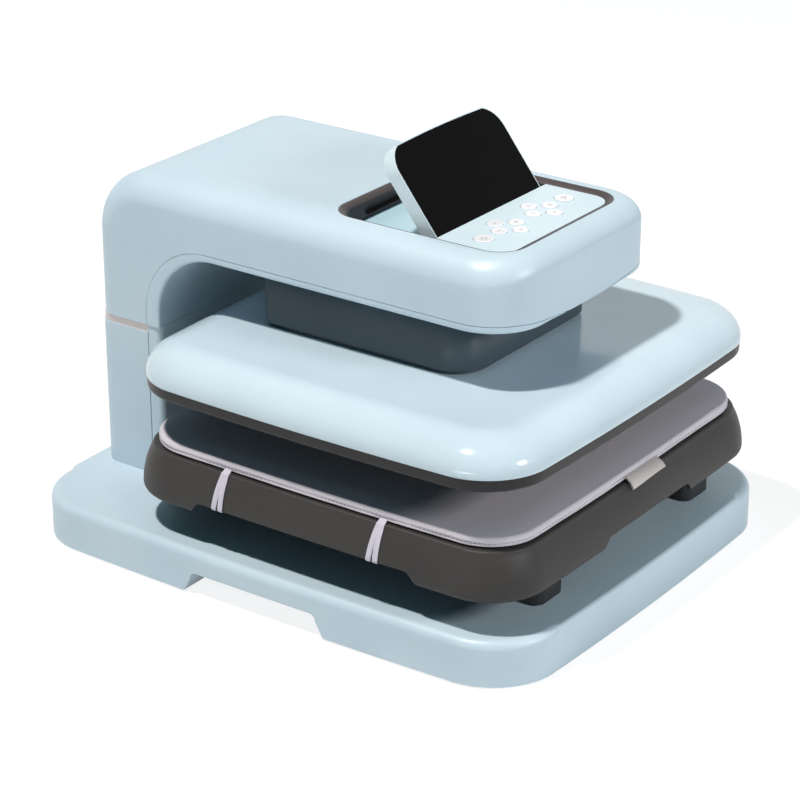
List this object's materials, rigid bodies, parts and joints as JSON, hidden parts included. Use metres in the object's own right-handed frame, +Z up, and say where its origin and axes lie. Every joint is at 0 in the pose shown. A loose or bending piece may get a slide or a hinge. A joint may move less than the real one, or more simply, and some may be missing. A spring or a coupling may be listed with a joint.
{
  "type": "automatic heat press",
  "caption": "Desktop automatic heat press: an arm on a column drives a square heated platen down onto a padded pull-out tray, with a fold-down screen above its keys.",
  "frame": {"origin": "on the floor under the middle of the base", "axes": "+Z is up, -Y is the front where the user stands, +X is the user's right"},
  "size_m": [0.442, 0.5378, 0.3901],
  "materials": {
    "shell": "satin",
    "dark_shell": "satin",
    "neck": "satin",
    "skirt": "satin",
    "bezel": "satin",
    "trim": "satin",
    "steel": "satin",
    "bright_steel": "polished",
    "aluminium": "matte",
    "brass": "satin",
    "board": "satin",
    "black_plastic": "satin",
    "gear_nylon": "satin",
    "white_key": "gloss",
    "recess": "satin",
    "rubber": "matte",
    "screen_black": "gloss",
    "insulation": "matte",
    "foam": "matte",
    "pad_fabric": "matte",
    "elastic": "matte",
    "label": "matte"
  },
  "bodies": {
    "base": {"base_cover": "shell", "base_plate": "steel", "base_feet": "rubber", "column_cover": "shell", "column_front_panel": "shell", "column_trim_band": "trim", "head_cover": "shell", "throat_liner": "shell", "column_frame": "steel", "arm_frame": "steel", "frame_screws": "steel", "power_inlet": "black_plastic", "power_board": "board", "control_board": "board", "neck_sleeve": "neck", "guide_pads": "gear_nylon", "motor": "black_plastic", "gear_plate": "steel", "thrust_bearing": "bright_steel", "panel_bezel": "bezel", "recess_floor": "recess", "keypad_panel": "shell", "key_board": "board", "hinge_ears": "bezel", "guide_rail": "steel"},
    "platen": {"platen_cover": "shell", "platen_skirt": "skirt", "heating_plate": "aluminium", "heating_element": "bright_steel", "insulation_board": "insulation", "carriage_plate": "steel", "inner_sleeve": "neck", "screw_nut": "brass", "temperature_sensor": "bright_steel", "thermal_cutout": "black_plastic", "platen_bolts": "steel"},
    "screw": {"lead_screw": "bright_steel", "screw_gear": "gear_nylon"},
    "pinion": {"motor_pinion": "brass"},
    "screen": {"screen_housing": "shell", "screen_glass": "screen_black", "display_module": "black_plastic", "hinge_pins": "bright_steel"},
    "tray": {"tray_shell": "dark_shell", "tray_bottom": "dark_shell", "tray_feet": "dark_shell", "pressing_pad": "foam", "pad_cover": "pad_fabric", "elastic_straps": "elastic", "pad_tag": "label"},
    "key_power": {"key_power": "white_key"},
    "key_left_minus": {"key_left_minus": "white_key"},
    "key_left_up": {"key_left_up": "white_key"},
    "key_left_down": {"key_left_down": "white_key"},
    "key_left_plus": {"key_left_plus": "white_key"},
    "key_right_minus": {"key_right_minus": "white_key"},
    "key_right_up": {"key_right_up": "white_key"},
    "key_right_down": {"key_right_down": "white_key"},
    "key_right_plus": {"key_right_plus": "white_key"},
    "key_start": {"key_start": "white_key"}
  },
  "joints": [
    {"name": "press_slide", "type": "slide", "parent": "base", "child": "platen", "axis": [0, 0, -1], "range_m": [0, 0.0417]},
    {"name": "screw_turn", "type": "hinge", "parent": "base", "child": "screw", "pos_m": [0, -0.05, 0.25], "axis": [0, 0, 1], "range_deg": [-5, 760]},
    {"name": "pinion_turn", "type": "hinge", "parent": "base", "child": "pinion", "pos_m": [0, 0.044, 0.28], "axis": [0, 0, 1], "range_deg": [-1475, 10]},
    {"name": "screen_fold", "type": "hinge", "parent": "base", "child": "screen", "pos_m": [0, -0.088, 0.3176], "axis": [1, 0, 0], "range_deg": [-52, 0]},
    {"name": "tray_pull", "type": "slide", "parent": "base", "child": "tray", "axis": [0, -1, 0], "range_m": [0, 0.24]},
    {"name": "key_power_press", "type": "slide", "parent": "base", "child": "key_power", "axis": [0, 0, -1], "range_m": [0, 0.0008], "stiffness_N_per_m": 600, "springref_m": -0.0005},
    {"name": "key_left_minus_press", "type": "slide", "parent": "base", "child": "key_left_minus", "axis": [0, 0, -1], "range_m": [0, 0.0008], "stiffness_N_per_m": 600, "springref_m": -0.0005},
    {"name": "key_left_up_press", "type": "slide", "parent": "base", "child": "key_left_up", "axis": [0, 0, -1], "range_m": [0, 0.0008], "stiffness_N_per_m": 600, "springref_m": -0.0005},
    {"name": "key_left_down_press", "type": "slide", "parent": "base", "child": "key_left_down", "axis": [0, 0, -1], "range_m": [0, 0.0008], "stiffness_N_per_m": 600, "springref_m": -0.0005},
    {"name": "key_left_plus_press", "type": "slide", "parent": "base", "child": "key_left_plus", "axis": [0, 0, -1], "range_m": [0, 0.0008], "stiffness_N_per_m": 600, "springref_m": -0.0005},
    {"name": "key_right_minus_press", "type": "slide", "parent": "base", "child": "key_right_minus", "axis": [0, 0, -1], "range_m": [0, 0.0008], "stiffness_N_per_m": 600, "springref_m": -0.0005},
    {"name": "key_right_up_press", "type": "slide", "parent": "base", "child": "key_right_up", "axis": [0, 0, -1], "range_m": [0, 0.0008], "stiffness_N_per_m": 600, "springref_m": -0.0005},
    {"name": "key_right_down_press", "type": "slide", "parent": "base", "child": "key_right_down", "axis": [0, 0, -1], "range_m": [0, 0.0008], "stiffness_N_per_m": 600, "springref_m": -0.0005},
    {"name": "key_right_plus_press", "type": "slide", "parent": "base", "child": "key_right_plus", "axis": [0, 0, -1], "range_m": [0, 0.0008], "stiffness_N_per_m": 600, "springref_m": -0.0005},
    {"name": "key_start_press", "type": "slide", "parent": "base", "child": "key_start", "axis": [0, 0, -1], "range_m": [0, 0.0008], "stiffness_N_per_m": 600, "springref_m": -0.0005}
  ],
  "couplings": [
    {"joint": "screw_turn", "follows": "press_slide", "rad_per_m": 314.16},
    {"joint": "pinion_turn", "follows": "press_slide", "rad_per_m": -608.68}
  ]
}
